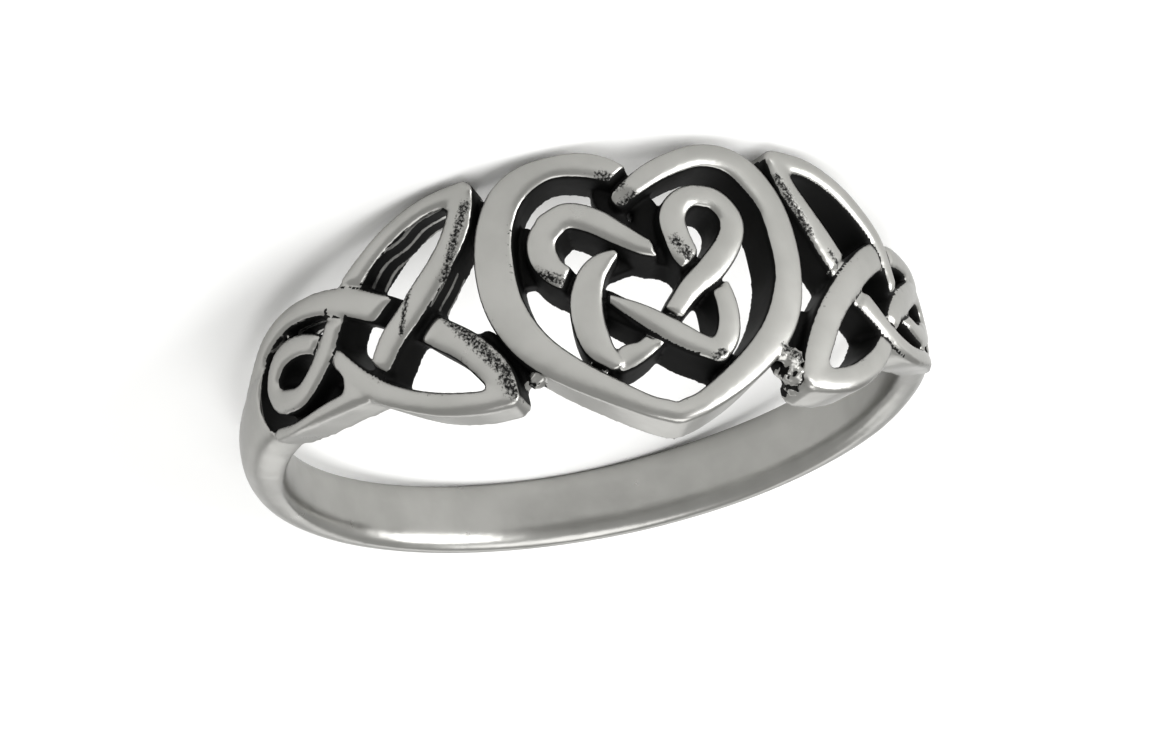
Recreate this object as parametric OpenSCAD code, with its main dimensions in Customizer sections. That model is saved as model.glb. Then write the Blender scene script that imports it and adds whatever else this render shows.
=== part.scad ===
// Openwork finger ring, cast in one piece: a heart frame round an interlaced
// love knot, a trinity knot on each shoulder, and a plain half-round band.
// The knot work is drawn on the outer face as it is seen with the heart
// upright: "across" is the distance round the face from the heart's centre
// line, to the right, and "up" is the height above the band's middle.
// The finished ring lies on its side, on the lobes of the heart.

/* [Finger size] */
// Inside diameter
bore_d = 17.3; // [15:0.1:20]

/* [Knot work] */
// Thickness of the metal at the heart
heart_t = 1.2; // [1.1:0.05:1.8]
// Thickness of the metal at the shoulders
shoulder_t = 1.2; // [1:0.05:1.5]
// How far a strand dips to pass under another
dip = 0.45; // [0.2:0.05:0.6]
// How far the edge of a strand is rounded down
edge_drop = 0.2; // [0.1:0.02:0.3]
// How far the rounded edge reaches beyond the width drawn
edge_out = 0.05; // [0:0.01:0.1]
// How much wider a strand is at the finger, on either side
flare = 0.02; // [0:0.02:0.2]
// How much higher the left knot was cast than the middle, and the right one lower
slant = 0.11; // [0:0.01:0.2]
// By how much the right knot came out taller, and the left one shorter
stretch = 0.032; // [0:0.002:0.04]

/* [Smoothness] */
// Distance between the sections of a strand
stride = 0.33; // [0.25:0.01:0.6]
// Angle between the sections of the band
band_step = 6; // [4:1:10]

/* [Hidden] */

bore_r = bore_d / 2;
front_r = bore_r + heart_t;
shoulder_r = bore_r + shoulder_t;
// The face on which "across" is measured
face_r = bore_r + 1.2;
// Sections start this far inside the bore, which trims them
sunk_r = bore_r - 0.3;

// Where the ring touches the floor at rest: distance from the ring's axis, height
LOBE_REST = [8.46, 3.488];
BACK_REST = [8.75, 1.08];
// The heart's side of the ring rises by this angle
lean = atan((LOBE_REST[1] - BACK_REST[1]) / (LOBE_REST[0] + BACK_REST[0]));
lift = LOBE_REST[1] * cos(lean) - LOBE_REST[0] * sin(lean);
// Brings the middle of the lying ring over the origin
centre_shift = 0.22;

// Half of the heart frame, from the top of a lobe to near the point.
// Columns: across, up, width of the strand
HEART = [
    [2.05, 3.10, 0.64],
    [2.82, 2.94, 0.73],
    [3.45, 2.45, 0.86],
    [3.88, 1.66, 0.92],
    [4.04, 0.70, 0.94],
    [4.00, -0.25, 0.93],
    [3.73, -1.12, 0.91],
    [3.22, -1.90, 0.86],
    [2.48, -2.60, 0.74],
    [1.60, -3.24, 0.61],
    [0.77, -3.75, 0.50]
];
// The two legs run on past each other at the point
POINT_RIGHT = [-0.05, -4.09, 0.46];
POINT_LEFT = [0.10, -4.02, 0.42];
// The start of the right lobe, over the notch, and of the left lobe, under it
NOTCH_OVER = [
    [-0.35, 2.00, 0.47],
    [0.15, 2.33, 0.56],
    [0.68, 2.64, 0.60],
    [1.30, 2.92, 0.60]
];
NOTCH_UNDER = [
    [-0.10, 2.50, 0.54],
    [-0.68, 2.83, 0.66],
    [-1.30, 3.02, 0.64]
];

// The love knot is two interlocked loops. Each is drawn as an upper and a
// lower strand that meet at a rounded top and at a pointed end. The left
// side of loop B is its own strand, for it runs on into the end of loop A.
// Columns: across, up, width of the strand
LOOP_A_UPPER = [
    [-2.47, 1.60, 0.65],
    [-1.87, 1.78, 0.65],
    [-1.20, 1.57, 0.63],
    [-0.57, 1.08, 0.60],
    [0.00, 0.60, 0.54],
    [0.70, 0.34, 0.48],
    [1.30, 0.03, 0.54],
    [1.72, -0.35, 0.56],
    [1.95, -0.90, 0.56],
    [1.97, -1.52, 0.57],
    [1.74, -2.06, 0.54],
    [1.36, -2.44, 0.52]
];
LOOP_A_LOWER = [
    [1.36, -2.44, 0.52],
    [0.54, -2.03, 0.62],
    [-0.50, -1.27, 0.62],
    [-1.18, -0.77, 0.63],
    [-1.87, -0.29, 0.65],
    [-2.48, 0.15, 0.66],
    [-2.78, 0.74, 0.68],
    [-2.68, 1.28, 0.66],
    [-2.25, 1.68, 0.64]
];
LOOP_B_UPPER = [
    [-1.41, -2.49, 0.52],
    [-1.76, -1.95, 0.77],
    [-1.86, -1.27, 0.79],
    [-1.78, -0.59, 0.77],
    [-1.53, -0.04, 0.63],
    [-0.98, 0.38, 0.54],
    [-0.36, 0.55, 0.52],
    [0.25, 0.58, 0.50],
    [0.85, 0.56, 0.48]
];
LOOP_B_SIDE = [
    [1.32, -0.10, 0.45],
    [1.10, 0.32, 0.66],
    [0.93, 0.80, 0.66],
    [0.90, 1.25, 0.66],
    [1.07, 1.62, 0.60],
    [1.40, 1.88, 0.55],
    [1.83, 1.94, 0.52]
];
LOOP_B_LOWER = [
    [1.62, 1.94, 0.57],
    [2.24, 1.80, 0.62],
    [2.60, 1.22, 0.68],
    [2.39, 0.57, 0.67],
    [1.74, -0.11, 0.65],
    [1.07, -0.64, 0.64],
    [0.53, -1.18, 0.63],
    [0.02, -1.77, 0.53],
    [-0.50, -2.17, 0.47],
    [-0.93, -2.24, 0.80],
    [-1.37, -2.48, 0.63]
];

// The left trinity knot, one cord drawn as four strands.
// Columns: across, up, width of the strand
BROW = [
    [-14.20, 0.92, 0.40],
    [-12.80, 1.28, 0.48],
    [-11.70, 1.62, 0.50],
    [-10.60, 1.76, 0.50],
    [-9.40, 1.61, 0.62],
    [-8.35, 1.22, 0.75],
    [-7.45, 0.70, 0.75],
    [-6.60, 0.12, 0.77],
    [-5.82, -0.57, 0.76],
    [-5.10, -1.32, 0.76],
    [-4.54, -2.16, 0.74],
    [-4.23, -2.86, 0.55]
];
CHIN = [
    [-4.23, -2.86, 0.46],
    [-5.00, -2.80, 0.48],
    [-6.00, -2.57, 0.49],
    [-6.90, -2.15, 0.48],
    [-7.75, -1.60, 0.54],
    [-8.42, -0.95, 0.50],
    [-8.90, -0.28, 0.46],
    [-9.40, 0.38, 0.53],
    [-10.10, 0.83, 0.55],
    [-10.85, 0.97, 0.60],
    [-11.55, 0.82, 0.62],
    [-11.98, 0.32, 0.64],
    [-11.75, -0.22, 0.62],
    [-11.05, -0.50, 0.60]
];
CURL = [
    [-11.40, -0.42, 0.60],
    [-10.70, -0.52, 0.58],
    [-10.05, -0.23, 0.57],
    [-9.45, 0.22, 0.54],
    [-8.95, 0.80, 0.48],
    [-8.44, 1.43, 0.66],
    [-7.58, 2.01, 0.58],
    [-6.62, 2.54, 0.52],
    [-5.52, 2.92, 0.50],
    [-4.40, 3.00, 0.56]
];
CHEEK = [
    [-4.40, 3.00, 0.56],
    [-4.64, 2.20, 0.71],
    [-5.00, 1.60, 0.71],
    [-5.46, 1.09, 0.71],
    [-5.93, 0.65, 0.73],
    [-6.48, 0.14, 0.74],
    [-7.08, -0.33, 0.74],
    [-7.50, -0.83, 0.69],
    [-7.92, -1.32, 0.60],
    [-8.60, -1.42, 0.44],
    [-9.65, -1.37, 0.38],
    [-10.95, -1.21, 0.38],
    [-12.30, -0.93, 0.38]
];

// Crossings of the trinity knot. Columns: across, up
CROSS_BROW_CURL = [-8.35, 1.22];
CROSS_BROW_CHEEK = [-6.58, 0.09];
CROSS_CHIN_CHEEK = [-7.88, -1.45];
CROSS_CHIN_CURL = [-9.33, 0.30];

// Window in each shoulder, round the curl
WINDOW_AT = [-10.65, 0.10];
WINDOW_SIZE = [4.4, 2.9];

// Short bridges of metal between the heart and the trinity knots.
// Columns: across, up, width, depth below the outer face
TIP_BRIDGE = [[-4.45, 2.60, 0.52, 0.6], [-3.60, 2.27, 0.52, 0.6]];
CHIN_BRIDGE = [[-4.66, -1.02, 0.55, 0.60], [-3.95, -2.25, 0.45, 0.60]];
// A rough bead of metal left between the heart and the right knot
BEAD = [[3.72, -2.40, 0.34, 0.1], [3.80, -2.92, 0.30, 0.1]];

// Sunken web that joins the left loop to the heart frame
LOOP_WEB = [[-3.26, 1.56, 0.42, 0.7], [-3.36, 0.42, 0.34, 0.7]];
// and one that fills the corner under the notch
NOTCH_WEB = [[0.42, 1.88, 0.66, 0.5], [0.34, 1.05, 0.50, 0.7]];

// The band, from the right shoulder round the back to the left one.
// Columns: angle from the heart, top edge, bottom edge, thickness
BAND = [
    [60, 1.50, -1.35, 1.10],
    [70, 1.42, -1.20, 1.12],
    [80, 1.28, -1.09, 1.18],
    [92, 1.15, -1.09, 1.26],
    [104, 1.14, -1.12, 1.30],
    [120, 1.18, -1.14, 1.22],
    [140, 1.18, -1.17, 1.14],
    [160, 1.12, -1.17, 1.10],
    [180, 1.06, -1.13, 1.10],
    [205, 1.03, -1.08, 1.08],
    [235, 1.02, -1.01, 1.10],
    [256, 1.05, -1.00, 1.16],
    [268, 1.12, -1.03, 1.24],
    [280, 1.30, -1.08, 1.24],
    [290, 1.46, -1.20, 1.14],
    [300, 1.50, -1.35, 1.10]
];

// Cross section of a strand over its outer face.
// Columns: side from -1 to 1, share of the edge drop
CROWN = [[-1, 1], [-0.72, 0.32], [0, 0], [0.72, 0.32], [1, 1]];

function smooth(x) = let (t = max(0, min(1, x))) t * t * (3 - 2 * t);

// A point on the ring from its place across and up and its radius
function place(across, up, r) =
    let (a = across / face_r * 180 / PI,
         side = sin(2 * max(-90, min(90, a))))
    [r * sin(a), -r * cos(a), up * (1 + stretch * side) - slant * side];

// Radius of the outer face of the knot work, thinning towards the shoulders
function face(across) =
    let (a = across / face_r * 180 / PI)
    shoulder_r + (front_r - shoulder_r) * pow((1 + cos(a)) / 2, 3);

// How far a strand lies below the face near the crossings it passes under.
// Columns of a row of under: across, up, depth, level reach, whole reach
function sink(at, under) =
    max([0, for (u = under) u[2] * smooth((u[4] - norm([at[0] - u[0], at[1] - u[1]])) / (u[4] - u[3]))]);

// A curve through the rows of a table
function between(a, b, c, d, t) =
    0.5 * (2 * b + (c - a) * t + (2 * a - 5 * b + 4 * c - d) * t * t + (3 * b - a - 3 * c + d) * t * t * t);

function curve(rows) = [
    for (i = [0 : len(rows) - 2])
        let (b = rows[i], c = rows[i + 1],
             a = i > 0 ? rows[i - 1] : 2 * b - c,
             d = i < len(rows) - 2 ? rows[i + 2] : 2 * c - b,
             steps = max(2, round(norm([c[0] - b[0], c[1] - b[1]]) / stride)))
        for (k = [0 : steps - 1]) between(a, b, c, d, k / steps),
    rows[len(rows) - 1]
];

function heading(path, i) =
    let (a = path[max(0, i - 1)], b = path[min(len(path) - 1, i + 1)], d = [b[0] - a[0], b[1] - a[1]])
    d / norm(d);

// Stations of a strand: across, up, width, heading across, heading up.
// Both ends are rounded off with narrowing stations.
function stations(path) =
    let (last = len(path) - 1, first_to = heading(path, 0), last_to = heading(path, last))
    concat(
        [for (t = [80, 50]) cap(path[0], -first_to, first_to, t)],
        [for (i = [0 : last]) let (h = heading(path, i)) [path[i][0], path[i][1], path[i][2], h[0], h[1]]],
        [for (t = [50, 80]) cap(path[last], last_to, last_to, t)]
    );

function cap(row, outward, h, t) =
    let (reach = row[2] / 2 * sin(t))
    [row[0] + outward[0] * reach, row[1] + outward[1] * reach, row[2] * cos(t), h[0], h[1]];

function section(s, under, spread) =
    let (top = face(s[0]) - sink(s, under), half = s[2] / 2 + edge_out, n = [-s[4], s[3]], foot = half + spread)
    concat(
        [place(s[0] - n[0] * foot, s[1] - n[1] * foot, sunk_r)],
        [for (c = CROWN) place(s[0] + n[0] * half * c[0], s[1] + n[1] * half * c[0],
                               top - edge_drop * c[1])],
        [place(s[0] + n[0] * foot, s[1] + n[1] * foot, sunk_r)]
    );

// Skins a list of rings of points, closed at both ends
module skin(rings) {
    n = len(rings[0]);
    last = len(rings) - 1;
    walls = [
        for (i = [0 : last - 1]) for (j = [0 : n - 1])
            let (a = i * n + j, b = i * n + (j + 1) % n)
            each [[a, b, a + n], [b, b + n, a + n]]
    ];
    caps = [
        for (j = [1 : n - 2])
            each [[0, j + 1, j], [last * n, last * n + j, last * n + j + 1]]
    ];
    polyhedron([for (r = rings) each r], concat(walls, caps));
}

module strand(rows, under = [], spread = flare) {
    skin([for (s = stations(curve(rows))) section(s, under, spread)]);
}

function mirrored(rows, side) = [
    for (r = rows) [side * r[0], for (k = [1 : len(r) - 1]) r[k]]
];

module heart_frame() {
    strand(concat(NOTCH_OVER, HEART, [POINT_RIGHT]));
    strand(concat(NOTCH_UNDER, mirrored(HEART, -1), [POINT_LEFT]), [[-0.05, 2.38, dip, 0.3, 0.95]]);
}

module love_knot() {
    strand(LOOP_A_UPPER, [[1.40, -0.15, 0.4, 0.5, 1.3]], flare + 0.04);
    strand(LOOP_A_LOWER, [[-1.77, -0.30, dip, 0.45, 0.98]], flare + 0.08);
    strand(LOOP_B_UPPER, [[0.02, 0.52, 0.75, 0.5, 1.0]]);
    strand(LOOP_B_SIDE, [[1.40, -0.15, 0.4, 0.35, 0.8]]);
    strand(LOOP_B_LOWER, [[0.18, -1.62, dip, 0.4, 0.92]]);
    bridge(LOOP_WEB);
    bridge(NOTCH_WEB);
}

// side is -1 for the left knot as drawn and 1 for the right one,
// where every over and under is the other way round
module trinity_knot(side) {
    function passes(left, right) =
        let (c = side < 0 ? left : right) [[-side * c[0], c[1], dip, side < 0 ? 0.35 : 0.5, side < 0 ? 0.85 : 1.3]];
    function fade(e, depth) = [[-side * e[0], e[1], depth, 0.2, 2]];
    strand(mirrored(BROW, -side), concat(passes(CROSS_BROW_CHEEK, CROSS_BROW_CURL), fade(BROW[0], 0.1)));
    strand(mirrored(CHIN, -side), passes(CROSS_CHIN_CURL, CROSS_CHIN_CHEEK), 0);
    strand(mirrored(CURL, -side), passes(CROSS_BROW_CURL, CROSS_CHIN_CURL));
    strand(mirrored(CHEEK, -side), concat(passes(CROSS_CHIN_CHEEK, CROSS_BROW_CHEEK), fade(CHEEK[len(CHEEK) - 1], 0.3)), 0);
}

module bridge(rows, side = -1) {
    r = mirrored(rows, -side);
    mid = (r[0] + r[1]) / 2;
    strand(r, [[mid[0], mid[1], mid[3], 1.5, 2]], 0);
}

function band_at(turn, column) = lookup(turn, [for (row = BAND) [row[0], row[column]]]);

module band() {
    inner_round = 0.15;
    base = bore_r + inner_round;
    root = BAND[0][0];
    rings = [
        for (turn = [root : band_step : 361 - root])
            let (a = turn <= 180 ? turn : turn - 360,
                 across = a * face_r * PI / 180,
                 middle = (band_at(turn, 1) + band_at(turn, 2)) / 2,
                 half = (band_at(turn, 1) - band_at(turn, 2)) / 2,
                 outer = bore_r + band_at(turn, 3))
            concat(
                [place(across, middle - half * 0.93, sunk_r)],
                [for (t = [-90 : 22.5 : 90])
                    place(across, middle + half * sign(t) * pow(abs(sin(t)), 0.8),
                          base + (outer - base) * pow(abs(cos(t)), 0.8))],
                [place(across, middle + half * 0.93, sunk_r)]
            )
    ];
    skin(rings);
}

module shoulder_window(side) {
    a = side * -WINDOW_AT[0] / face_r * 180 / PI;
    rotate([0, 0, a]) translate([0, 0, WINDOW_AT[1]]) rotate([90, 0, 0])
        linear_extrude(front_r * 1.5)
            scale([WINDOW_SIZE[0] / 2, WINDOW_SIZE[1] / 2]) circle(1, $fn = 32);
}

// Fuses its children into one casting at the size drawn
module cast() { resize([0, 0, 0]) union() children(); }

module upright_ring() {
    difference() {
        cast() {
            difference() {
                band();
                for (side = [-1, 1]) shoulder_window(side);
            }
            heart_frame();
            love_knot();
            for (side = [-1, 1]) {
                trinity_knot(side);
                bridge(TIP_BRIDGE, side);
                bridge(CHIN_BRIDGE, side);
            }
            bridge(BEAD);
        }
        cylinder(h = 12, r = bore_r, center = true, $fn = 96);
    }
}

// Turned over, so that it lies on its lobes and on the back of the band
module knot_ring() {
    color("silver")
        translate([0, centre_shift, lift]) rotate([-lean, 0, 0]) rotate([0, 180, 0]) upright_ring();
}

knot_ring();
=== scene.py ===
# %% [markdown]
# # A silver knot ring
#
# This lesson dresses one small casting: a finger ring of silver with a heart, a love knot and two trinity
# knots. It shows how to sweep flat strands round a cylinder, how to fuse them into one skin as casting does,
# and how to blacken the hollows while the tops stay polished.
#
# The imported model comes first. It fixes where the ring lies and how large it is, so nothing is fitted by eye.

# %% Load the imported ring
import math
import bpy
import numpy as np
from mathutils import Matrix, Vector


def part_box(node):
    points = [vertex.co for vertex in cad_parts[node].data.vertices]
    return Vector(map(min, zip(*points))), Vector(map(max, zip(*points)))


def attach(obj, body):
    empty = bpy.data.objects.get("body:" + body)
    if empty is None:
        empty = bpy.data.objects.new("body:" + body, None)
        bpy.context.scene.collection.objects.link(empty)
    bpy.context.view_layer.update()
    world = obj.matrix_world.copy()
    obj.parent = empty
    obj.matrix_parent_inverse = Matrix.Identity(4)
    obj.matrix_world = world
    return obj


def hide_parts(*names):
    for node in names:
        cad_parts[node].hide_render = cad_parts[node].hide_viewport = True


PER_METRE = 1000
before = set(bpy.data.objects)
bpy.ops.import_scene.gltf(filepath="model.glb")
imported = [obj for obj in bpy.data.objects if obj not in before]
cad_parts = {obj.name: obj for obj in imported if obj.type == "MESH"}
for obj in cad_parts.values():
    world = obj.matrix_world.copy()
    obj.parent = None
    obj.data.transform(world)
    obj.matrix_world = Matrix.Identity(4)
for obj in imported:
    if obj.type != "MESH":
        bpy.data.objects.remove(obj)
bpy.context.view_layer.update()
low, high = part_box("knot_ring")
print("packed nodes:", len(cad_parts))
print("size in mm:", [round((b - a) * PER_METRE, 2) for a, b in zip(low, high)])

# %% [markdown]
# ## Sizes and the way it lies
#
# A ring is easiest to draw upright, with its axis along Z and the heart facing -Y, in millimetres. On the
# table it is turned over and leans on the lobes of the heart. One function carries points from the drawing
# to the table, so every piece and also the camera can be worked out in the upright drawing.

# %% Radii of the bore and of the outer face
BORE = 8.65
FACE = 9.85
print("metal at the heart, in mm:", round(FACE - BORE, 2))

# %% What it rests on: height over the middle and distance from the axis, and the shift that centres its box
LOBE_HEIGHT, LOBE_OUT = 3.488, 8.46
BACK_HEIGHT, BACK_OUT = 1.08, 8.75
LEAN = math.atan((LOBE_HEIGHT - BACK_HEIGHT) / (LOBE_OUT + BACK_OUT))
LIFT = LOBE_HEIGHT * math.cos(LEAN) - LOBE_OUT * math.sin(LEAN)
SHIFT = 0.22

turned = np.diag([-1.0, 1.0, -1.0])
leaned = np.array([
    [1, 0, 0],
    [0, math.cos(LEAN), math.sin(LEAN)],
    [0, -math.sin(LEAN), math.cos(LEAN)],
])
LAY = leaned @ turned


def on_table(points):
    """Upright drawing in millimetres to the ring's resting place in metres."""
    return (np.asarray(points) @ LAY.T + (0, SHIFT, LIFT)) / PER_METRE


print("lean in degrees:", round(math.degrees(LEAN), 2), "lift in mm:", round(LIFT, 3))

# %% [markdown]
# ## Camera
#
# The picture was taken from a little to the left and from the point's side of the heart, with the ring rolled
# in the frame. Because the ring lies turned over, that same view comes from above the floor, with the camera
# held upside down. A long lens keeps the near and the far side of the ring in true proportion.

# %% Where the camera stands, in degrees and in millimetres of the upright drawing
YAW, PITCH, ROLL = 13.505, -20.237, -11.503
DISTANCE = 85.0
ASIDE, BELOW = 0.0383, -0.9271


def turn(axis, degrees):
    return np.array(Matrix.Rotation(math.radians(degrees), 3, axis))


view = turn("Y", ROLL) @ turn("X", PITCH) @ turn("Z", YAW)
eye = on_table(view.T @ np.array([-ASIDE, -DISTANCE, -BELOW]))
print("camera height in mm:", round(eye[2] * PER_METRE, 1))

# %% Camera, with its focal length and the width of the picture in pixels
FOCUS, PHOTO_WIDTH = 2990.3, 1170
SENSOR = 36
axes = LAY @ view.T
# A camera looks along its own -Z, with its Y pointing up in the picture
placed = Matrix.Identity(4)
for row in range(3):
    placed[row][0] = axes[row][0]
    placed[row][1] = axes[row][2]
    placed[row][2] = -axes[row][1]
    placed[row][3] = eye[row]

lens = bpy.data.cameras.new("camera")
lens.sensor_width = SENSOR
lens.lens = SENSOR * FOCUS / PHOTO_WIDTH
lens.clip_start = 0.005
camera = bpy.data.objects.new("camera", lens)
camera.matrix_world = placed
bpy.context.scene.collection.objects.link(camera)
bpy.context.scene.camera = camera
print("lens in mm:", round(lens.lens, 1))

# %% [markdown]
# ## Floor and light
#
# Silver has no colour of its own to speak of: it shows what stands round it. A pale floor and a grey room give
# the calm grey of the tops, and a few large soft boxes give the white lines along the rounded edges.

# %% Pale floor
PALE = (0.93, 0.93, 0.925, 1)
bpy.ops.mesh.primitive_plane_add(size=2.4, location=(0, 0, 0))
floor = bpy.context.object
floor.name = "floor"
floor_paint = bpy.data.materials.new("pale_floor")
floor_paint.use_nodes = True
floor_shader = floor_paint.node_tree.nodes["Principled BSDF"]
floor_shader.inputs["Base Color"].default_value = PALE
floor_shader.inputs["Roughness"].default_value = 0.9
floor_shader.inputs["Specular IOR Level"].default_value = 0.0
floor.data.materials.append(floor_paint)
print("floor laid at height 0")

# %% Grey room
GREY = (0.62, 0.62, 0.61, 1)
room = bpy.data.worlds.new("room")
room.use_nodes = True
room.node_tree.nodes["Background"].inputs["Color"].default_value = GREY
room.node_tree.nodes["Background"].inputs["Strength"].default_value = 1.0
bpy.context.scene.world = room
bpy.context.scene.view_settings.view_transform = "Standard"
print("room:", GREY[:3])


# %% Soft boxes, in metres
def soft_box(name, stand, target, width, height, glow):
    """A rectangular light. glow is how bright its face looks, so power grows with its area."""
    data = bpy.data.lights.new(name, "AREA")
    data.shape = "RECTANGLE"
    data.size, data.size_y = width, height
    data.energy = glow * math.pi * width * height
    box = bpy.data.objects.new(name, data)
    away = Vector(stand) - Vector(target)
    box.matrix_world = Matrix.Translation(stand) @ away.to_track_quat("Z", "Y").to_matrix().to_4x4()
    bpy.context.scene.collection.objects.link(box)


soft_box("top_box", (-0.06, -0.06, 0.42), (-0.02, 0, 0), width=0.40, height=0.34, glow=2.35)
soft_box("side_box", (-0.20, -0.12, 0.08), (0, 0, 0), width=0.18, height=0.14, glow=9.0)
soft_box("back_box", (0.04, 0.36, 0.13), (0, 0, 0), width=0.50, height=0.12, glow=1.6)

# %% [markdown]
# ## The strands as tables
#
# Each strand is a few rows: how far across the face, how far up, and how wide it is there. The rows are
# read off the flattened face of the ring, more closely than those of its solid, where the right side mirrors
# the left one. A smooth curve runs through them, so a dozen rows draw a whole loop.

# %% Heart frame: across, up and width, as in all the tables of strands
LOBE_RIGHT = [
    (2.05, 3.03, 0.57), (2.82, 2.91, 0.67), (3.45, 2.45, 0.83), (3.94, 1.66, 0.84), (4.08, 0.70, 0.86),
    (4.01, -0.25, 0.80), (3.71, -1.10, 0.84), (3.20, -1.88, 0.79), (2.47, -2.59, 0.70), (1.60, -3.24, 0.61),
    (0.77, -3.75, 0.50),
]
LOBE_LEFT = [
    (-2.05, 3.09, 0.57), (-2.78, 2.90, 0.74), (-3.38, 2.43, 0.87), (-3.77, 1.66, 0.93), (-3.94, 0.70, 0.98),
    (-3.91, -0.25, 0.97), (-3.66, -1.12, 0.94), (-3.20, -1.90, 0.87), (-2.48, -2.60, 0.74), (-1.60, -3.24, 0.61),
    (-0.77, -3.75, 0.50),
]
NOTCH_OVER = [(-0.35, 2.00, 0.42), (0.15, 2.33, 0.50), (0.68, 2.62, 0.54), (1.30, 2.86, 0.55)]
NOTCH_UNDER = [(-0.10, 2.50, 0.50), (-0.68, 2.85, 0.62), (-1.30, 3.05, 0.63)]
POINT = [(0.28, -3.94, 0.50), (0.00, -4.02, 0.48), (-0.28, -3.94, 0.50)]

# %% Love knot of two interlocked loops
LOOP_A_UPPER = [
    (-2.34, 1.50, 0.68), (-1.82, 1.68, 0.66), (-1.22, 1.45, 0.66), (-0.62, 0.99, 0.58), (-0.12, 0.62, 0.46),
    (0.20, 0.48, 0.40), (0.72, 0.38, 0.42), (1.30, 0.05, 0.46), (1.68, -0.36, 0.50), (1.88, -0.90, 0.52),
    (1.89, -1.50, 0.54), (1.72, -2.04, 0.55), (1.36, -2.44, 0.54),
]
LOOP_A_LOWER = [
    (1.36, -2.44, 0.54), (0.54, -2.03, 0.60), (-0.50, -1.27, 0.62), (-1.18, -0.77, 0.60), (-1.84, -0.27, 0.58),
    (-2.40, 0.17, 0.62), (-2.64, 0.72, 0.69), (-2.55, 1.22, 0.69), (-2.16, 1.58, 0.68),
]
LOOP_A_CROSS = [
    (-1.16, -0.78, 0.14), (-0.85, -1.00, 0.32), (-0.40, -1.32, 0.50), (0.14, -1.72, 0.60), (0.70, -2.10, 0.58),
    (1.14, -2.36, 0.42),
]
LOOP_B_LEFT = [
    (-1.38, -2.52, 0.38), (-1.70, -2.02, 0.70), (-1.82, -1.27, 0.78), (-1.73, -0.59, 0.76), (-1.47, -0.04, 0.64),
    (-1.13, 0.27, 0.46), (-0.86, 0.41, 0.22),
]
LOOP_B_UNDER = [(-1.06, 0.30, 0.40), (-0.36, 0.54, 0.52), (0.25, 0.60, 0.50), (0.85, 0.60, 0.44)]
LOOP_B_SIDE = [
    (1.24, -0.12, 0.54), (1.04, 0.31, 0.69), (0.93, 0.80, 0.66), (0.90, 1.25, 0.66), (1.07, 1.60, 0.60),
    (1.40, 1.85, 0.54), (1.83, 1.90, 0.51),
]
LOOP_B_LOWER = [
    (1.62, 1.91, 0.53), (2.22, 1.76, 0.58), (2.57, 1.22, 0.64), (2.36, 0.58, 0.63), (1.74, -0.11, 0.65),
    (1.05, -0.64, 0.54), (0.53, -1.18, 0.46), (0.02, -1.77, 0.46), (-0.50, -2.20, 0.45), (-0.93, -2.36, 0.60),
    (-1.22, -2.52, 0.50),
]

# %% Left trinity knot
BROW_LEFT = [
    (-14.20, 0.92, 0.40), (-12.80, 1.28, 0.48), (-11.70, 1.62, 0.50), (-10.60, 1.76, 0.50), (-9.40, 1.61, 0.62),
    (-8.35, 1.22, 0.75), (-7.45, 0.70, 0.75), (-6.60, 0.12, 0.77), (-5.82, -0.57, 0.76), (-5.02, -1.29, 0.78),
    (-4.44, -2.12, 0.78), (-4.20, -2.86, 0.56),
]
CHIN_LEFT = [
    (-4.18, -2.90, 0.50), (-5.00, -2.84, 0.54), (-6.00, -2.59, 0.56), (-6.90, -2.18, 0.54), (-7.75, -1.62, 0.56),
    (-8.40, -0.95, 0.52), (-8.90, -0.28, 0.44), (-9.40, 0.33, 0.50), (-10.10, 0.74, 0.52), (-10.85, 0.90, 0.58),
    (-11.55, 0.78, 0.60), (-11.98, 0.30, 0.62), (-11.75, -0.22, 0.62), (-11.05, -0.50, 0.60),
]
CURL_LEFT = [
    (-11.40, -0.42, 0.60), (-10.63, -0.54, 0.60), (-9.96, -0.27, 0.62), (-9.36, 0.20, 0.62), (-8.90, 0.80, 0.58),
    (-8.44, 1.40, 0.64), (-7.58, 2.01, 0.54), (-6.62, 2.55, 0.48), (-5.52, 2.94, 0.46), (-4.40, 3.02, 0.56),
]
CHEEK_LEFT = [
    (-4.40, 3.00, 0.56), (-4.67, 2.20, 0.66), (-5.03, 1.60, 0.66), (-5.48, 1.09, 0.67), (-5.93, 0.65, 0.73),
    (-6.48, 0.14, 0.74), (-7.08, -0.33, 0.74), (-7.50, -0.83, 0.69), (-7.92, -1.32, 0.60), (-8.60, -1.42, 0.46),
    (-9.65, -1.39, 0.38), (-10.95, -1.30, 0.27), (-12.30, -0.98, 0.34),
]

# %% Right trinity knot, modelled by hand and so not an exact mirror image
BROW_RIGHT = [
    (14.20, 0.85, 0.40), (12.80, 1.10, 0.44), (11.40, 1.22, 0.44), (10.30, 1.22, 0.44), (9.20, 1.18, 0.54),
    (8.35, 1.00, 0.68), (7.52, 0.66, 0.74), (6.66, 0.10, 0.74), (5.86, -0.56, 0.74), (5.14, -1.30, 0.75),
    (4.50, -2.22, 0.75), (4.02, -3.08, 0.62),
]
CHIN_RIGHT = [
    (3.98, -3.12, 0.56), (4.72, -3.09, 0.60), (5.45, -2.95, 0.58), (6.12, -2.66, 0.56), (6.84, -2.20, 0.52),
    (7.45, -1.65, 0.50), (8.00, -1.05, 0.50), (8.55, -0.52, 0.58), (9.20, -0.12, 0.66), (9.95, 0.26, 0.64),
    (10.80, 0.60, 0.60), (11.50, 0.62, 0.60), (11.95, 0.20, 0.62), (11.72, -0.28, 0.62), (11.05, -0.52, 0.60),
]
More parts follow.
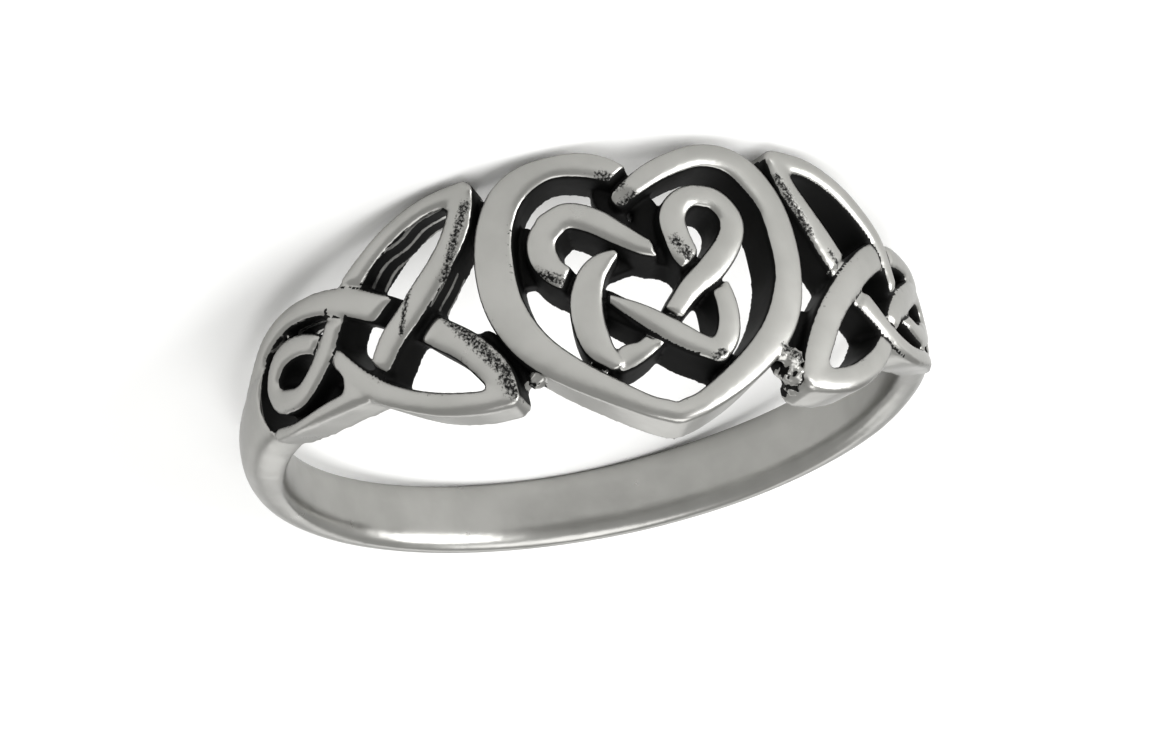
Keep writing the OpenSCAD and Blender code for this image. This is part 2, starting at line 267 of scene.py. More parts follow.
CURL_RIGHT = [
    (11.40, -0.45, 0.60), (10.70, -0.68, 0.54), (10.00, -0.78, 0.50), (9.35, -0.66, 0.48), (8.92, -0.32, 0.46),
    (8.70, 0.12, 0.46), (8.60, 0.76, 0.50), (8.32, 1.42, 0.62), (7.52, 2.03, 0.60), (6.62, 2.54, 0.54),
    (5.52, 2.92, 0.50), (4.40, 3.00, 0.56),
]
CHEEK_RIGHT = [
    (4.40, 2.98, 0.56), (4.65, 2.24, 0.62), (5.04, 1.63, 0.66), (5.45, 1.00, 0.78), (5.80, 0.46, 0.84),
    (6.25, -0.10, 0.76), (6.72, -0.60, 0.70), (7.24, -0.98, 0.64), (7.74, -1.32, 0.58), (8.38, -1.56, 0.52),
    (9.30, -1.62, 0.42), (10.80, -1.36, 0.38), (12.30, -1.02, 0.38),
]

# %% Webs and bridges, sunken below the face
TIP_BRIDGE_LEFT = [(-4.45, 2.68, 0.54), (-3.60, 2.40, 0.54)]
TIP_BRIDGE_RIGHT = [(4.45, 2.68, 0.54), (3.60, 2.40, 0.54)]
CHIN_BRIDGE_LEFT = [(-4.66, -1.02, 0.55), (-3.85, -2.25, 0.45)]
CHIN_BRIDGE_RIGHT = [(4.85, -1.30, 0.70), (4.25, -1.70, 1.20), (3.95, -2.35, 0.80)]
LOOP_WEB = [(-3.02, 1.62, 0.44), (-3.20, 0.42, 0.44)]
NOTCH_WEB = [(0.42, 1.88, 0.66), (0.34, 1.05, 0.62)]
LOBE_WEB = [(-0.64, 2.35, 0.64), (-0.36, 1.15, 0.60)]
FORK_WEB = [(-8.68, -0.72, 0.40), (-8.72, -1.30, 0.46)]
RIM_WEB = [(-9.90, -0.95, 0.70), (-11.60, -0.86, 0.84)]

# %% Rough beads left by the casting: across, up, distance from the axis, size
BEADS = [
    (3.30, -2.46, 9.66, 0.22), (3.55, -2.58, 9.72, 0.26), (3.52, -2.84, 9.40, 0.26), (3.72, -2.96, 9.55, 0.24),
    (3.78, -3.12, 9.20, 0.26), (3.98, -3.10, 9.35, 0.22), (-3.44, -2.50, 9.42, 0.24),
]

# %% Band, by the angle from the heart: top edge, bottom edge, thickness
BAND = np.array([
    (60, 1.50, -1.35, 1.12), (70, 1.42, -1.20, 1.17), (80, 1.28, -1.09, 1.22), (92, 1.15, -1.09, 1.25),
    (104, 1.14, -1.12, 1.28), (120, 1.18, -1.14, 1.22), (140, 1.18, -1.17, 1.14), (160, 1.12, -1.17, 1.10),
    (180, 1.06, -1.13, 1.10), (205, 1.03, -1.08, 1.08), (235, 1.02, -1.01, 1.10), (256, 1.05, -1.00, 1.16),
    (268, 1.12, -1.03, 1.23), (280, 1.30, -1.08, 1.25), (290, 1.46, -1.20, 1.20), (300, 1.50, -1.35, 1.13),
])
print("rows of the two brows:", len(BROW_LEFT), len(BROW_RIGHT), "and of the band:", len(BAND))

# %% [markdown]
# ## Sweeping a strand
#
# A strand is a flat wire laid round the finger. Its top follows the ring's outer face, its two long edges are
# rounded over, and its foot stands on the bore. I sweep a section of 21 points along the curve, because a
# Blender curve with a bevel would twist on a cylinder and couldn't dip under its neighbour.
#
# The real knot work also stands a little askew: slanted, and taller on its right side. Drawing it level and
# bending it as a whole keeps the tables simple.

# %% From across and up to a point on the ring
SLANT = 0.11
STRETCH = 0.032


def askew(angle):
    """How much slant and stretch act: most halfway round to each side, not at all in front or behind."""
    return np.sin(2 * np.clip(angle, -math.pi / 2, math.pi / 2))


def place(across, up, radius):
    angle = across / FACE
    side = askew(angle)
    height = up * (1 + STRETCH * side) - SLANT * side
    return np.stack(np.broadcast_arrays(radius * np.sin(angle), -radius * np.cos(angle), height), -1)


print("middle of the heart:", place(0.0, 0.0, FACE))


# %% Soft steps between 0 and 1
def smooth(x):
    t = np.clip(x, 0, 1)
    return t * t * (3 - 2 * t)


def rises(value, start, width):
    """0 up to start, then softly up to 1 over this width."""
    return smooth((value - start) / width)


def falls(value, end, width):
    """Softly down from 1 over this width, and 0 from end on."""
    return smooth((end - value) / width)


print("a step, halfway up:", rises(0.5, 0, 1))

# %% A smooth curve through the rows
STATION_STEP = 0.11
CAP_ANGLES = np.radians((25, 45, 60, 72, 82))


def curve(rows, stride):
    """Points at about this stride on a smooth curve that passes through every row."""
    rows = np.array(rows, float)
    ends = [2 * rows[0] - rows[1], *rows, 2 * rows[-1] - rows[-2]]
    out = []
    for a, b, c, d in zip(ends, ends[1:], ends[2:], ends[3:]):
        steps = max(2, math.ceil(np.hypot(*(c - b)[:2]) / stride))
        for t in np.arange(steps)[:, None] / steps:
            out.append(0.5 * (2 * b + (c - a) * t + (2 * a - 5 * b + 4 * c - d) * t * t
                              + (3 * b - a - 3 * c + d) * t ** 3))
    return np.array(out + [rows[-1]])


def stations(rows, stride=STATION_STEP):
    """Across, up, width and heading along a strand, with both ends rounded off."""
    path = curve(rows, stride)
    heading = np.gradient(path[:, :2], axis=0)
    heading /= np.linalg.norm(heading, axis=1)[:, None]
    table = np.hstack([path, heading])
    caps = []
    for row, sign in ((table[0], -1), (table[-1], 1)):
        cap = []
        for angle in CAP_ANGLES:
            reach = sign * row[2] / 2 * math.sin(angle)
            cap.append([row[0] + row[3] * reach, row[1] + row[4] * reach, row[2] * math.cos(angle), *row[3:]])
        caps.append(cap)
    return np.array(caps[0][::-1] + table.tolist() + caps[1])


print("stations along the left brow:", len(stations(BROW_LEFT)))

# %% Top of a strand: how far its edges drop and reach out, and how far it falls away from its middle
EDGE_DROP = 0.15
EDGE_OUT = 0.05
DOME = 0.05
SQUARENESS = 4
TOP_POINTS = 19

across_top = np.sin(np.linspace(-math.pi / 2, math.pi / 2, TOP_POINTS))
edge_share = 1 - (1 - np.abs(across_top) ** SQUARENESS) ** (1 / SQUARENESS)
top_drop = EDGE_DROP * edge_share + DOME * across_top ** 2
print("drop at the edge of a top:", top_drop[0])


# %% Skin of a strand
def skin(rings):
    """Faces between rings of points, closed at both ends."""
    count, points = len(rings), len(rings[0])
    faces = []
    for i in range(count - 1):
        for j in range(points):
            k = (j + 1) % points
            faces.append((i * points + j, i * points + k, (i + 1) * points + k, (i + 1) * points + j))
    faces.append(tuple(range(points))[::-1])
    faces.append(tuple(range((count - 1) * points, count * points)))
    return np.concatenate(rings), faces


def strand(rows, dips=(), spread=0.04):
    """A swept strand, whose foot is wider than its top by the spread on each side."""
    line = stations(rows)
    half = (line[:, 2] / 2 + EDGE_OUT)[:, None]
    offsets = np.hstack([-half - spread, across_top * half, half + spread])
    across = line[:, 0, None] - line[:, 4, None] * offsets
    up = line[:, 1, None] + line[:, 3, None] * offsets
    share = np.linspace(0, 1, len(line))[:, None]
    depth = np.zeros_like(across)
    for dip in dips:
        depth = np.maximum(depth, dip(across, up, share))
    radius = np.full(across.shape, BORE)
    radius[:, 1:-1] = FACE - top_drop - depth[:, 1:-1]
    return skin(list(place(across, up, radius)))


print("points round and along the heart's tip:", len(strand(POINT)[0]))

# %% [markdown]
# ## Over and under
#
# A real cord goes over and under in turn. Where a strand passes under another, it dips along that strand's
# edge, so a thin dark line is left between the two. A dip is a small function that says how deep the strand
# lies at each point, and a strand may have several. Webs lie at one depth all along.

# %% Dips
DIP = 0.45
DIP_FADE = 0.3
DARK_SHARE = 0.85
dark_edges = []


def fade(at, drop, inner, outer):
    """A dip round one place, whole up to the inner reach and gone at the outer one."""
    def depth(across, up, share):
        return drop * falls(np.hypot(across - at[0], up - at[1]), outer, outer - inner)
    return depth


def beyond(rows, across, up):
    """How far points lie outside the edge of a strand."""
    line = stations(rows)[:, :3]
    away = np.hypot(across[..., None] - line[:, 0], up[..., None] - line[:, 1])
    return (away - line[:, 2] / 2 - EDGE_OUT).min(-1)


def crossing(over, at, reach=1.3, clear=0.0, slope=0.12, after=0.0, dark=0.12):
    """A dip along the edge of the strand that passes over, near one place.

    The dip is whole as far as clear from that edge and gone a slope further on. The first share of the strand,
    up to after, has no dip. Dark is how far from the edge the strand is left black.
    """
    dark_edges.append((over, at, dark, reach * DARK_SHARE))

    def depth(across, up, share):
        near = falls(np.hypot(across - at[0], up - at[1]), reach, DIP_FADE) * (share >= after)
        return DIP * near * falls(beyond(over, across, up), clear + slope, slope)
    return depth


# %% Webs
def sunk(depth):
    """The same depth everywhere."""
    return lambda across, up, share: np.full_like(across, depth)


def web(rows, depth=0.6):
    """A strand below the face, with upright sides."""
    return strand(rows, [sunk(depth)], spread=0)


print("points of a web:", len(web(LOOP_WEB)[0]))

# %% Beads
BEAD_POINTS, BEAD_RINGS = 12, 7
LUMPINESS = 0.25


def bead(across, up, radius, size):
    """A small lump, as rings from pole to pole."""
    middle = place(across, up, radius)
    around = np.linspace(0, 2 * math.pi, BEAD_POINTS, endpoint=False)
    rings = []
    for tilt in np.radians(np.linspace(-80, 80, BEAD_RINGS)):
        lumps = (1 + LUMPINESS * np.sin(3 * around + 7 * tilt + 5 * across))[:, None]
        ring = np.stack([np.cos(around) * math.cos(tilt), np.sin(around) * math.cos(tilt),
                         np.full(BEAD_POINTS, math.sin(tilt))], 1)
        rings.append(middle + size * lumps * ring)
    return skin(rings)


print("points of a bead:", len(bead(*BEADS[0])[0]))

# %% [markdown]
# ## Heart, love knot, trinity knots and band
#
# Each strand is now swept with the dips that it has. On the right trinity knot every crossing is the other
# way round. The tops of brow and cheek sink a little where they run out on the shoulder. The band is one more
# sweep, flat over the shoulders and half-round behind.

# %% Shells of the heart and of the love knot
HEART = NOTCH_OVER + LOBE_RIGHT + POINT + LOBE_LEFT[::-1] + NOTCH_UNDER[::-1]
heart_shells = [
    strand(HEART, [
        crossing(NOTCH_OVER + LOBE_RIGHT[:1], (-0.05, 2.38), after=0.6, slope=0.3, dark=0.3),
        fade((-0.42, 1.85), drop=0.25, inner=0.1, outer=0.5),
    ]),
    strand(LOOP_A_UPPER, [
        crossing(LOOP_B_LOWER, (1.40, -0.15), reach=1.6),
        crossing(LOOP_B_SIDE, (0.95, 0.25), clear=0.25, dark=-0.2),
    ], spread=0.14),
    strand(LOOP_A_LOWER, [
        crossing(LOOP_B_LEFT, (-1.77, -0.30), slope=0.25, dark=0.22),
        fade((-0.9, -0.9), drop=0.3, inner=0.5, outer=1.5),
    ], spread=0.18),
    strand(LOOP_A_CROSS, spread=0),
    strand(LOOP_B_LEFT, spread=0),
    strand(LOOP_B_UNDER, [sunk(0.75)], spread=0.05),
    strand(LOOP_B_SIDE, [crossing(LOOP_B_LOWER, (1.40, -0.15), slope=0.2, dark=0.16)]),
    strand(LOOP_B_LOWER, [
        crossing(LOOP_A_CROSS, (0.18, -1.62)),
        fade((-0.9, -2.4), drop=0.1, inner=0.7, outer=1.0),
    ]),
    web(LOOP_WEB, 0.7), web(NOTCH_WEB), web(LOBE_WEB),
]
heart_shells += [bead(*row) for row in BEADS]
print("shells of the heart:", len(heart_shells))


# %% Shells of the trinity knots
def run_out(end, outer):
    """Sinks a strand towards its end on the shoulder."""
    return fade(end, drop=0.12, inner=0.2, outer=outer)


left_knot = [
    strand(BROW_LEFT, [crossing(CHEEK_LEFT, (-6.58, 0.09), slope=0.5, dark=0.4), run_out(BROW_LEFT[0], 2.5)]),
    strand(CHIN_LEFT, [crossing(CURL_LEFT, (-9.30, 0.25))], spread=0),
    strand(CURL_LEFT, [crossing(BROW_LEFT, (-8.40, 1.25), dark=0.07)]),
    strand(CHEEK_LEFT, [
        crossing(CHIN_LEFT, (-7.72, -1.00), reach=0.9, slope=0.3, dark=0.25),
        run_out(CHEEK_LEFT[-1], 2.0),
    ], spread=0),
    web(TIP_BRIDGE_LEFT), web(CHIN_BRIDGE_LEFT),
]
right_knot = [
    strand(BROW_RIGHT, [crossing(CURL_RIGHT, (8.25, 0.97)), run_out(BROW_RIGHT[0], 2.5)], spread=-0.2),
    strand(CHIN_RIGHT, [crossing(CHEEK_RIGHT, (7.50, -1.50))], spread=0),
    strand(CURL_RIGHT, [crossing(CHIN_RIGHT, (8.85, -0.28))]),
    strand(CHEEK_RIGHT, [
        crossing(BROW_RIGHT, (6.25, -0.15), slope=0.16, dark=0.08),
        run_out(CHEEK_RIGHT[-1], 2.0),
    ], spread=-0.15),
    web(TIP_BRIDGE_RIGHT), web(CHIN_BRIDGE_RIGHT),
]
knot_shells = left_knot + right_knot + [web(FORK_WEB, 0.03), web(RIM_WEB)]
print("shells of the shoulders:", len(knot_shells))

# %% Shell of the band, with its inner edge by share of the half width and height over the bore
INNER_EDGE = np.array([(0.50, 0.00), (0.68, 0.03), (0.82, 0.08), (0.92, 0.15), (0.98, 0.23)])
RIM_HEIGHT = 0.30
BAND_STEP, BAND_POINTS = 1.5, 25
FULLNESS_ANGLES, FULLNESS = (60, 75, 95), (0.45, 0.7, 0.8)


def band_shell():
    rings = []
    around = np.radians(np.linspace(-90, 90, BAND_POINTS))
    for turned_by in np.arange(BAND[0, 0], BAND[-1, 0] + 0.1, BAND_STEP):
        top, bottom, thick = (np.interp(turned_by, BAND[:, 0], BAND[:, k]) for k in (1, 2, 3))
        middle, half = (top + bottom) / 2, (top - bottom) / 2
        across = math.radians(turned_by if turned_by <= 180 else turned_by - 360) * FACE
        # Flat over the shoulders, half-round behind
        fullness = np.interp(min(turned_by, 360 - turned_by), FULLNESS_ANGLES, FULLNESS)
        heights = middle + half * np.sign(around) * np.abs(np.sin(around)) ** fullness
        radii = BORE + RIM_HEIGHT + (thick - RIM_HEIGHT) * np.abs(np.cos(around)) ** fullness
        # The inner edges are rounded over too, as the lower one shows
        heights = np.concatenate([middle - half * INNER_EDGE[:, 0], heights, middle + half * INNER_EDGE[::-1, 0]])
        radii = np.concatenate([BORE + INNER_EDGE[:, 1], radii, BORE + INNER_EDGE[::-1, 1]])
        rings.append(place(across, heights, radii))
    return skin(rings)


print("points of the band:", len(band_shell()[0]))

# %% [markdown]
# ## Casting it in one
#
# Molten silver leaves no join between the strands. A voxel remesh does the same: it fills everything inside
# the shells and draws one new skin round it. I do this in the millimetres of the drawing: in metres, a voxel of
# a twentieth of a millimetre would be 0.00005, less than the modifier's slider goes down to. A few rounds of
# smoothing then polish the steps away, and the bore is set back to a true cylinder.

# %% A mesh object from shells
def as_object(name, shells):
    points, faces, start = [], [], 0
    for shell_points, shell_faces in shells:
        points.append(shell_points)
        faces += [tuple(i + start for i in face) for face in shell_faces]
        start += len(shell_points)
    mesh = bpy.data.meshes.new(name)
    mesh.from_pydata(np.concatenate(points).tolist(), [], faces)
    thing = bpy.data.objects.new(name, mesh)
    bpy.context.scene.collection.objects.link(thing)
    return thing


def applied(thing):
    """Keeps the result of the modifiers as the mesh."""
    shown = thing.evaluated_get(bpy.context.evaluated_depsgraph_get())
    done = bpy.data.meshes.new_from_object(shown)
    thing.modifiers.clear()
    thing.data = done


# %% Windows cut through the shoulders: across and up of their middle, width and height
WINDOW_ACROSS, WINDOW_UP = 10.65, 0.10
WINDOW_WIDTH, WINDOW_HEIGHT = 4.4, 2.9
CUTTER_FROM, CUTTER_TO, CUTTER_POINTS = 4.0, 13.0, 48


def window_cutter(side):
    angle = side * WINDOW_ACROSS / FACE
    around = np.linspace(0, 2 * math.pi, CUTTER_POINTS, endpoint=False)
    sideways = WINDOW_WIDTH / 2 * np.cos(around)
    heights = WINDOW_UP + WINDOW_HEIGHT / 2 * np.sin(around)
    rings = []
    for out in (CUTTER_FROM, CUTTER_TO):
        x = out * math.sin(angle) + sideways * math.cos(angle)
        y = -out * math.cos(angle) + sideways * math.sin(angle)
        rings.append(np.stack([x, y, heights], 1))
    return skin(rings)


band = as_object("band", [band_shell()])
for side in (-1, 1):
    cutter = as_object("cutter", [window_cutter(side)])
    cut = band.modifiers.new("window", "BOOLEAN")
    cut.operation, cut.solver, cut.object = "DIFFERENCE", "EXACT", cutter
    applied(band)
    bpy.data.objects.remove(cutter)
print("band cut, corners:", len(band.data.vertices))

# %% Fuse, smooth and true the bore
SMOOTHING, SMOOTHING_ROUNDS = 0.5, 4
BORE_SLACK = 0.05


def corners(mesh):
    """The places of a mesh's points, a row each."""
    points = np.empty(len(mesh.vertices) * 3)
    mesh.vertices.foreach_get("co", points)
    return points.reshape(-1, 3)


def cast(name, shells, voxel):
    piece = as_object(name, shells)
    fuse = piece.modifiers.new("fuse", "REMESH")
    fuse.mode = "VOXEL"
    fuse.voxel_size = voxel
    polish = piece.modifiers.new("polish", "SMOOTH")
    polish.factor, polish.iterations = SMOOTHING, SMOOTHING_ROUNDS
    applied(piece)
    mesh = piece.data
    points = corners(mesh)
    radius = np.hypot(points[:, 0], points[:, 1])
    near = (radius < BORE + BORE_SLACK)[:, None]
    trued = points[:, :2] * (np.maximum(radius, BORE) / radius)[:, None]
    points[:, :2] = np.where(near, trued, points[:, :2])
    mesh.vertices.foreach_set("co", points.ravel())
    mesh.update()
    print(name, "triangles:", 2 * len(mesh.polygons))
    return piece


band_cut = (corners(band.data), [tuple(face.vertices) for face in band.data.polygons])
bpy.data.objects.remove(band)
heart = cast("heart_and_love_knot", heart_shells, voxel=0.05)
shank = cast("shank_and_trinity_knots", knot_shells + [band_cut], voxel=0.08)

# %% [markdown]
# ## Blackened hollows
#
# The maker dips the casting in a bath that turns silver black, then polishes the tops. Black is left on walls
# that face another strand, and on strands and webs that lie below the face. I work that out at each
# point of the mesh and store it, and the material reads it: a painted map would need a picture.

# %% A flat plan of the ring's face
STEP = 0.04
PLAN_ACROSS, PLAN_UP = 16, 5
STAMP_STEP = 0.08
plan_across = np.arange(-PLAN_ACROSS, PLAN_ACROSS, STEP)
plan_up = np.arange(-PLAN_UP, PLAN_UP, STEP)
plan = np.zeros((len(plan_up), len(plan_across)), bool)


def stamp(rows):
    for x, y, width, _, _ in stations(rows, STAMP_STEP):
        reach = width / 2 + EDGE_OUT
        i = np.searchsorted(plan_up, (y - reach, y + reach))
        j = np.searchsorted(plan_across, (x - reach, x + reach))
        away = np.hypot(plan_up[i[0]:i[1], None] - y, plan_across[None, j[0]:j[1]] - x)
        plan[i[0]:i[1], j[0]:j[1]] |= away < reach


for rows in (HEART, LOOP_A_UPPER, LOOP_A_LOWER, LOOP_B_LEFT, LOOP_B_UNDER, LOOP_B_SIDE, LOOP_B_LOWER,
             BROW_LEFT, CHIN_LEFT, CURL_LEFT, CHEEK_LEFT, TIP_BRIDGE_LEFT, TIP_BRIDGE_RIGHT,
             BROW_RIGHT, CHIN_RIGHT, CURL_RIGHT, CHEEK_RIGHT):
    stamp(rows)
print("share of the plan that is metal:", round(float(plan.mean()), 3))

# %% Places that the polishing wheel missed: across and up of both ends, width
SPOTS = [
    (-0.80, 2.62, -0.30, 2.38, 0.45), (-0.34, 1.84, 0.00, 1.98, 0.32), (0.82, 0.62, 1.12, 0.16, 0.40),
    (-2.86, 0.22, -2.25, -0.14, 0.36), (-4.36, 2.60, -5.30, 0.72, 0.32), (-5.40, -0.26, -4.08, -2.30, 0.48),
    (-4.16, -2.40, -4.04, -2.85, 0.46), (4.30, 2.50, 5.05, 1.00, 0.34), (5.62, 0.52, 5.90, 0.20, 0.24),
    (3.30, -2.35, 3.60, -2.65, 0.36), (-6.25, 0.95, -6.75, -0.35, 0.20), (1.20, -2.62, 1.50, -2.48, 0.26),
]

# %% Walls worn to grey streaks: across and up of both ends, width
WORN = [(-7.60, 1.72, -5.30, 2.66, 0.45), (-11.70, 1.10, -9.80, 1.35, 0.40), (-5.75, 0.35, -5.25, 0.95, 0.35)]


def capsules(table, across, up):
    """1 on the lines of the table, fading to 0 at their width."""
    value = np.zeros(len(across))
    for x, y, to_x, to_y, width in table:
        along_x, along_y = to_x - x, to_y - y
        t = np.clip(((across - x) * along_x + (up - y) * along_y) / (along_x ** 2 + along_y ** 2), 0, 1)
        away = np.hypot(across - x - along_x * t, up - y - along_y * t)
        value = np.maximum(value, falls(away, width, width))
    return value


print("missed places:", len(SPOTS), "worn walls:", len(WORN))

# %% How far off the next strand is, in the direction that a wall faces
WALL_REACH = 3.2
WALL_FADE = 0.4
FIRST_LOOK, LAST_LOOK, LOOK_STEP = 0.14, 3.7, 0.05
NONE_MET = 9.0
TINY = 1e-6


def gap_ahead(across, up, along, rise):
    flat = np.hypot(along, rise) + TINY
    gap = np.full(len(across), NONE_MET)
    for far in np.arange(FIRST_LOOK, LAST_LOOK, LOOK_STEP):
        j = ((across + along / flat * far + PLAN_ACROSS) / STEP).astype(int)
        i = ((up + rise / flat * far + PLAN_UP) / STEP).astype(int)
        met = plan[np.clip(i, 0, plan.shape[0] - 1), np.clip(j, 0, plan.shape[1] - 1)]
        gap = np.where(met & (gap == NONE_MET), far, gap)
    return gap


# %% Black on enclosed walls, where outward is 1 on a top, 0 on a wall and -1 on the bore
def wall_black(outward, depth, gap):
    wall = falls(outward, end=0.87, width=0.32) * rises(outward, start=-0.85, width=0.3)
    enclosed = 1 - rises(gap, WALL_REACH, WALL_FADE)
    return wall * enclosed * rises(depth, start=0.04, width=0.10)


# %% Black on sunken tops, up to the shoulders
SHOULDER = 1.25


def low_black(outward, depth, angle):
    sunken = rises(depth, start=0.20, width=0.14) * rises(outward, start=0.3, width=0.3)
    return sunken * (np.abs(angle) < SHOULDER)


# %% Black along the edge of a strand that passes over, but not on that strand or far down its wall
EDGE_SLACK, EDGE_DEEPEST = -0.03, 0.9


def edge_black(out, dark, outward, depth):
    beside = falls(out, dark, width=0.1) * (out > EDGE_SLACK) * (depth < EDGE_DEEPEST)
    return beside * rises(outward, start=0, width=0.3)


# %% Streaks that wear the black off: waves along the wall, bent a little so that they don't look ruled
STREAK_SHARE = 0.6


def streaks(across, up, depth):
    waves = np.sin(depth * 13 + 1.3 * np.sin(across * 2.3) + 0.7 * np.sin(across * 5.1))
    return STREAK_SHARE * rises(waves, start=-0.2, width=1.2) * smooth(2 * capsules(WORN, across, up))


# %% Blackening at each point
SPOT_DEEPEST, SPOT_FADE = 0.7, 0.2
WALL_OUTWARD = 0.5


def store(mesh, name, values):
    mesh.attributes.new(name, "FLOAT", "POINT").data.foreach_set("value", values.astype(np.float32))


def blacken(piece):
    mesh = piece.data
    points = corners(mesh)
    normals = np.empty(points.size)
    mesh.vertex_normals.foreach_get("vector", normals)
    (x, y, z), (nx, ny, nz) = points.T, normals.reshape(-1, 3).T
    angle = np.arctan2(x, -y)
    radius = np.hypot(x, y)
    side = askew(angle)
    across, up, depth = angle * FACE, (z + SLANT * side) / (1 + STRETCH * side), FACE - radius
    outward = (nx * x + ny * y) / radius
    along = (-nx * y + ny * x) / radius

    gap = gap_ahead(across, up, along, nz)
    black = np.maximum(wall_black(outward, depth, gap), low_black(outward, depth, angle))
    for over, at, dark, reach in dark_edges:
        near = np.hypot(across - at[0], up - at[1]) < reach
        out = beyond(over, across[near], up[near])
        black[near] = np.maximum(black[near], edge_black(out, dark, outward[near], depth[near]))
    black *= 1 - streaks(across, up, depth) * (outward < WALL_OUTWARD)
    store(mesh, "blackened", black)
    store(mesh, "spots", capsules(SPOTS, across, up) * falls(depth, SPOT_DEEPEST, SPOT_FADE))
    print(piece.name, "share blackened:", round(float((black > 0.5).mean()), 3))
    return black


# %% A halo round the black, for the pits beside it
HEART_ROUNDS, SHANK_ROUNDS = 30, 14


def spread_over(mesh, values, rounds):
    """Lets a value run out over the mesh, each round to the next points."""
    edges = np.empty(len(mesh.edges) * 2, np.int64)
    mesh.edges.foreach_get("vertices", edges)
    edges = edges.reshape(-1, 2)
    count = np.bincount(edges.ravel(), minlength=len(values))
    for _ in range(rounds):
        total = np.bincount(edges[:, 0], values[edges[:, 1]], len(values))
        total += np.bincount(edges[:, 1], values[edges[:, 0]], len(values))
        values = 0.5 * values + 0.5 * total / np.maximum(count, 1)
    return values


# The mesh of the heart is finer, so it takes more rounds to reach as far
for piece, rounds in ((heart, HEART_ROUNDS), (shank, SHANK_ROUNDS)):
    store(piece.data, "halo", spread_over(piece.data, blacken(piece), rounds))

# %% [markdown]
# ## On the table
#
# The black was worked out on the upright drawing, so the pieces are laid down only now. Their places go into
# the mesh and the objects stay at the origin, as the frame asks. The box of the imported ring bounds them: a
# point that smoothing left a hair outside it goes back onto it.

# %% Lay the pieces down, in metres
for piece in (heart, shank):
    mesh = piece.data
    laid = np.clip(on_table(corners(mesh)), low, high)
    mesh.vertices.foreach_set("co", laid.ravel())
    mesh.polygons.foreach_set("use_smooth", np.ones(len(mesh.polygons), bool))
    mesh.update()
    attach(piece, "root")
    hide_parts("knot_ring")
print("pieces:", heart.name, shank.name)

# %% [markdown]
# ## Silver and black
#
# One material covers the ring. A polished, slightly warm metal is mixed with a dull black by the stored
# blackening. Noise frays the border between the two, and small pits of black stay on the tops beside the
# hollows, where a polishing wheel doesn't reach.

# %% A material with nodes
silver = bpy.data.materials.new("blackened_silver")
silver.use_nodes = True
nodes, links = silver.node_tree.nodes, silver.node_tree.links
shader = nodes["Principled BSDF"]
print("material:", silver.name)


# %% A node and its settings
def node(kind, **settings):
    made = nodes.new(kind)
    for key, value in settings.items():
        if key in made.inputs:
            made.inputs[key].default_value = value
        else:
            setattr(made, key, value)
    return made


# %% Sums and products of what nodes give
def math_node(operation, *values, clamp=False):
    made = nodes.new("ShaderNodeMath")
    made.operation, made.use_clamp = operation, clamp
    for socket, value in zip(made.inputs, values):
        if isinstance(value, (int, float)):
            socket.default_value = value
        else:
            links.new(value, socket)
    return made.outputs[0]


def add(a, b):
    return math_node("ADD", a, b)


def times(a, b):
    return math_node("MULTIPLY", a, b)


# %% Ramps and mixes
def ramp(value, start, end):
    """0 up to start and 1 from end on."""
    made = nodes.new("ShaderNodeMapRange")
    made.interpolation_type = "SMOOTHSTEP"
    links.new(value, made.inputs["Value"])
    made.inputs["From Min"].default_value = start
    made.inputs["From Max"].default_value = end
    return made.outputs["Result"]


def mix(share, a, b):
    """One colour turning into another."""
    made = node("ShaderNodeMix", data_type="RGBA")
    links.new(share, made.inputs["Factor"])
    for name, colour in (("A", a), ("B", b)):
        if isinstance(colour, tuple):
            made.inputs[name].default_value = colour
        else:
            links.new(colour, made.inputs[name])
    return made.outputs[2]


# %% Noise, by its cells to a metre
where = node("ShaderNodeTexCoord").outputs["Object"]


def noise(scale, detail, roughness=0.5):
    made = node("ShaderNodeTexNoise", Scale=scale, Detail=detail, Roughness=roughness)
    links.new(where, made.inputs["Vector"])
    return made.outputs["Fac"]


def swing(strength, scale, detail, roughness=0.5):
    """Noise that swings to both sides of 0."""
    return times(math_node("SUBTRACT", noise(scale, detail, roughness), 0.5), strength)


# %% Where it is black: a frayed border, pits beside it, and places that the wheel missed
stored, halo, spots = (node("ShaderNodeAttribute", attribute_name=name).outputs["Fac"]
                       for name in ("blackened", "halo", "spots"))

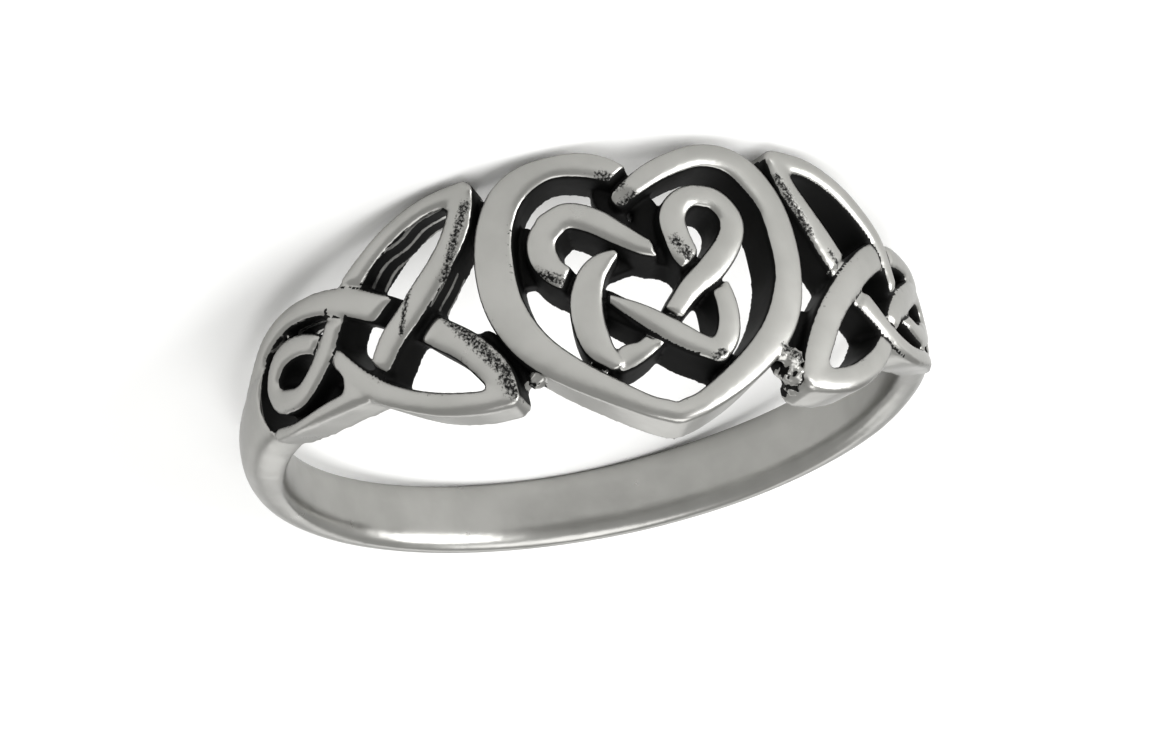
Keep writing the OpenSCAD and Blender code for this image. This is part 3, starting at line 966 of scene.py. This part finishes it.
fray = swing(0.38, scale=4200, detail=4, roughness=0.6)
border = ramp(add(stored, fray), start=0.38, end=0.62)
patchy = ramp(noise(scale=420, detail=2), start=0.52, end=0.66)
speck = ramp(noise(scale=9000, detail=2, roughness=0.6), start=0.60, end=0.68)
pits = times(times(speck, patchy), ramp(halo, start=0.05, end=0.35))
grit = swing(1.7, scale=14000, detail=3, roughness=0.6)
missed = ramp(add(times(spots, 0.92), grit), start=0.48, end=1.0)
missed = times(missed, ramp(spots, start=0.05, end=0.4))
black = math_node("MAXIMUM", math_node("MAXIMUM", border, pits), missed, clamp=True)
print("nodes for the black:", len(nodes))

# %% Colour: two greys of silver in soft clouds, and the black
DULL_SILVER = (0.315, 0.313, 0.298, 1)
BRIGHT_SILVER = (0.365, 0.361, 0.346, 1)
BLACKENED = (0.004, 0.004, 0.0038, 1)
clouds = add(times(noise(scale=170, detail=2), 0.6), times(noise(scale=900, detail=3), 0.4))
metal = mix(ramp(clouds, start=0.36, end=0.64), DULL_SILVER, BRIGHT_SILVER)
links.new(mix(black, metal, BLACKENED), shader.inputs["Base Color"])
print("brighter silver:", BRIGHT_SILVER[:3])

# %% Gloss: metal where it is polished, dull where it is black
SHEEN = 0.12
# The tint dims the sheen of the black, and the silver where it is seen at a slant
TINT = (0.75, 0.75, 0.75, 1)
SILVER_ROUGHNESS, BLACK_ADDS = 0.30, 0.3
links.new(math_node("SUBTRACT", 1.0, black), shader.inputs["Metallic"])
shader.inputs["Specular IOR Level"].default_value = SHEEN
shader.inputs["Specular Tint"].default_value = TINT
roughness = add(add(SILVER_ROUGHNESS, times(black, BLACK_ADDS)), swing(0.12, scale=1400, detail=3))
links.new(roughness, shader.inputs["Roughness"])
print("roughness of silver and of black:", SILVER_ROUGHNESS, SILVER_ROUGHNESS + BLACK_ADDS)

# %% Faint waves of hand polishing, with the black a little lower than the silver
BLACK_RISE = -0.8
bump = node("ShaderNodeBump", Strength=0.25, Distance=0.00003)
waves = add(times(noise(scale=900, detail=2), 2.5), times(noise(scale=3200, detail=3), 0.5))
links.new(add(waves, times(black, BLACK_RISE)), bump.inputs["Height"])
links.new(bump.outputs["Normal"], shader.inputs["Normal"])

for piece in (heart, shank):
    piece.data.materials.clear()
    piece.data.materials.append(silver)
print("nodes in all:", len(nodes))

# %% [markdown]
# ## Finish
#
# The dressed ring has to stay within the imported one.

# %% Finish
bpy.context.view_layer.update()
